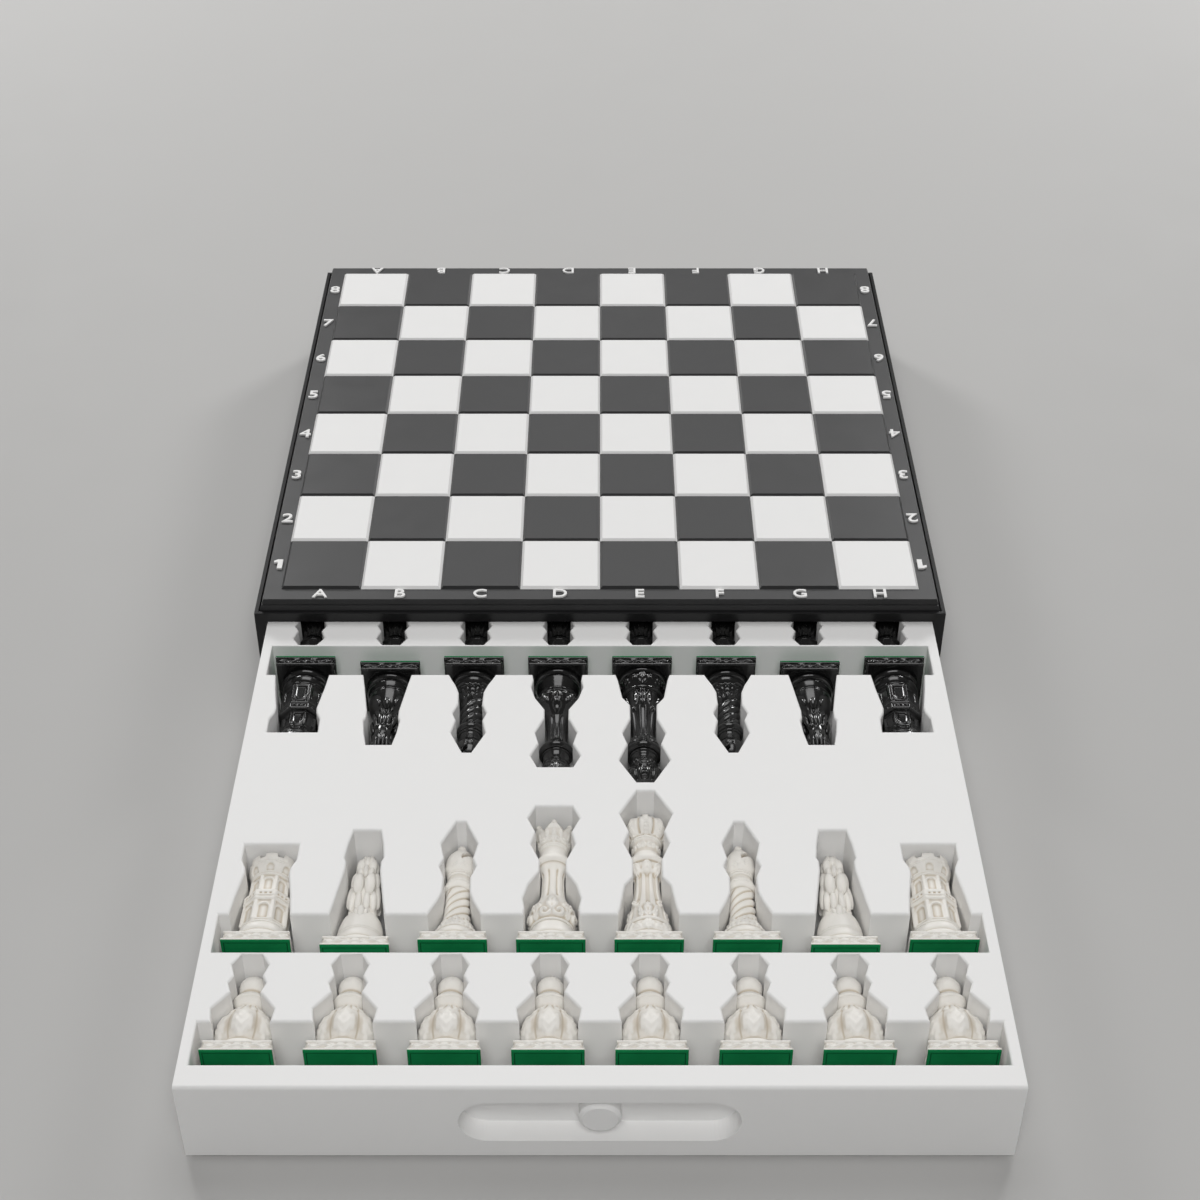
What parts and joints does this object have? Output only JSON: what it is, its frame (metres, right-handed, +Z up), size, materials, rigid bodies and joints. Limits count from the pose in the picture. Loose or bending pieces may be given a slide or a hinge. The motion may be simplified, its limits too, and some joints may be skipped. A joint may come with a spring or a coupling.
{
  "type": "chess box",
  "caption": "Chess box with a raised board on its lid and a drawer whose shaped pockets hold carved men lying down.",
  "frame": {"origin": "centre of the case's flat underside", "axes": "+Z up, +Y from the drawer's front towards the case's back, +X to the right seen from the front"},
  "size_m": [0.302, 0.553, 0.0501],
  "materials": {
    "case_black": "satin black",
    "board_grey": "fine matt charcoal",
    "tile_white": "fine matt off-white",
    "drawer_white": "fine matt off-white",
    "men_ivory": "satin ivory",
    "men_black": "gloss black",
    "felt_green": "short green felt"
  },
  "bodies": {
    "case": {"case_left_side": "case_black", "case_right_side": "case_black", "case_back": "case_black", "case_bottom": "case_black", "case_roof": "case_black", "board_plate": "board_grey", "dark_squares": "board_grey", "light_squares": "tile_white"},
    "drawer": {"drawer_front": "drawer_white", "drawer_back": "drawer_white", "drawer_left_side": "drawer_white", "drawer_right_side": "drawer_white", "drawer_floor": "drawer_white", "drawer_knob": "drawer_white", "white_pawn_cradle": "drawer_white", "white_piece_cradle": "drawer_white", "black_piece_cradle": "drawer_white", "black_pawn_cradle": "drawer_white", "black_pawn_a": "men_black", "black_pawn_b": "men_black", "black_pawn_c": "men_black", "black_pawn_d": "men_black", "black_pawn_e": "men_black", "black_pawn_f": "men_black", "black_pawn_g": "men_black", "black_pawn_h": "men_black"},
    "loose_white_pawn_a": {"white_pawn_a": "men_ivory"},
    "loose_white_pawn_b": {"white_pawn_b": "men_ivory"},
    "loose_white_pawn_c": {"white_pawn_c": "men_ivory"},
    "loose_white_pawn_d": {"white_pawn_d": "men_ivory"},
    "loose_white_pawn_e": {"white_pawn_e": "men_ivory"},
    "loose_white_pawn_f": {"white_pawn_f": "men_ivory"},
    "loose_white_pawn_g": {"white_pawn_g": "men_ivory"},
    "loose_white_pawn_h": {"white_pawn_h": "men_ivory"},
    "loose_white_rook_a": {"white_rook_a": "men_ivory"},
    "loose_white_knight_b": {"white_knight_b": "men_ivory"},
    "loose_white_bishop_c": {"white_bishop_c": "men_ivory"},
    "loose_white_queen_d": {"white_queen_d": "men_ivory"},
    "loose_white_king_e": {"white_king_e": "men_ivory"},
    "loose_white_bishop_f": {"white_bishop_f": "men_ivory"},
    "loose_white_knight_g": {"white_knight_g": "men_ivory"},
    "loose_white_rook_h": {"white_rook_h": "men_ivory"},
    "loose_black_rook_a": {"black_rook_a": "men_black"},
    "loose_black_knight_b": {"black_knight_b": "men_black"},
    "loose_black_bishop_c": {"black_bishop_c": "men_black"},
    "loose_black_queen_d": {"black_queen_d": "men_black"},
    "loose_black_king_e": {"black_king_e": "men_black"},
    "loose_black_bishop_f": {"black_bishop_f": "men_black"},
    "loose_black_knight_g": {"black_knight_g": "men_black"},
    "loose_black_rook_h": {"black_rook_h": "men_black"}
  },
  "joints": [
    {"name": "drawer_slide", "type": "slide", "parent": "case", "child": "drawer", "axis": [0, -1, 0], "range_m": [-0.251, 0.034]},
    {"name": "white_pawn_a_lift", "type": "slide", "parent": "drawer", "child": "loose_white_pawn_a", "axis": [0, 0, 1], "range_m": [0, 0.04]},
    {"name": "white_pawn_b_lift", "type": "slide", "parent": "drawer", "child": "loose_white_pawn_b", "axis": [0, 0, 1], "range_m": [0, 0.04]},
    {"name": "white_pawn_c_lift", "type": "slide", "parent": "drawer", "child": "loose_white_pawn_c", "axis": [0, 0, 1], "range_m": [0, 0.04]},
    {"name": "white_pawn_d_lift", "type": "slide", "parent": "drawer", "child": "loose_white_pawn_d", "axis": [0, 0, 1], "range_m": [0, 0.04]},
    {"name": "white_pawn_e_lift", "type": "slide", "parent": "drawer", "child": "loose_white_pawn_e", "axis": [0, 0, 1], "range_m": [0, 0.04]},
    {"name": "white_pawn_f_lift", "type": "slide", "parent": "drawer", "child": "loose_white_pawn_f", "axis": [0, 0, 1], "range_m": [0, 0.04]},
    {"name": "white_pawn_g_lift", "type": "slide", "parent": "drawer", "child": "loose_white_pawn_g", "axis": [0, 0, 1], "range_m": [0, 0.04]},
    {"name": "white_pawn_h_lift", "type": "slide", "parent": "drawer", "child": "loose_white_pawn_h", "axis": [0, 0, 1], "range_m": [0, 0.04]},
    {"name": "white_rook_a_lift", "type": "slide", "parent": "drawer", "child": "loose_white_rook_a", "axis": [0, 0, 1], "range_m": [0, 0.04]},
    {"name": "white_knight_b_lift", "type": "slide", "parent": "drawer", "child": "loose_white_knight_b", "axis": [0, 0, 1], "range_m": [0, 0.04]},
    {"name": "white_bishop_c_lift", "type": "slide", "parent": "drawer", "child": "loose_white_bishop_c", "axis": [0, 0, 1], "range_m": [0, 0.04]},
    {"name": "white_queen_d_lift", "type": "slide", "parent": "drawer", "child": "loose_white_queen_d", "axis": [0, 0, 1], "range_m": [0, 0.04]},
    {"name": "white_king_e_lift", "type": "slide", "parent": "drawer", "child": "loose_white_king_e", "axis": [0, 0, 1], "range_m": [0, 0.04]},
    {"name": "white_bishop_f_lift", "type": "slide", "parent": "drawer", "child": "loose_white_bishop_f", "axis": [0, 0, 1], "range_m": [0, 0.04]},
    {"name": "white_knight_g_lift", "type": "slide", "parent": "drawer", "child": "loose_white_knight_g", "axis": [0, 0, 1], "range_m": [0, 0.04]},
    {"name": "white_rook_h_lift", "type": "slide", "parent": "drawer", "child": "loose_white_rook_h", "axis": [0, 0, 1], "range_m": [0, 0.04]},
    {"name": "black_rook_a_lift", "type": "slide", "parent": "drawer", "child": "loose_black_rook_a", "axis": [0, 0, 1], "range_m": [0, 0.04]},
    {"name": "black_knight_b_lift", "type": "slide", "parent": "drawer", "child": "loose_black_knight_b", "axis": [0, 0, 1], "range_m": [0, 0.04]},
    {"name": "black_bishop_c_lift", "type": "slide", "parent": "drawer", "child": "loose_black_bishop_c", "axis": [0, 0, 1], "range_m": [0, 0.04]},
    {"name": "black_queen_d_lift", "type": "slide", "parent": "drawer", "child": "loose_black_queen_d", "axis": [0, 0, 1], "range_m": [0, 0.04]},
    {"name": "black_king_e_lift", "type": "slide", "parent": "drawer", "child": "loose_black_king_e", "axis": [0, 0, 1], "range_m": [0, 0.04]},
    {"name": "black_bishop_f_lift", "type": "slide", "parent": "drawer", "child": "loose_black_bishop_f", "axis": [0, 0, 1], "range_m": [0, 0.04]},
    {"name": "black_knight_g_lift", "type": "slide", "parent": "drawer", "child": "loose_black_knight_g", "axis": [0, 0, 1], "range_m": [0, 0.04]},
    {"name": "black_rook_h_lift", "type": "slide", "parent": "drawer", "child": "loose_black_rook_h", "axis": [0, 0, 1], "range_m": [0, 0.04]}
  ]
}
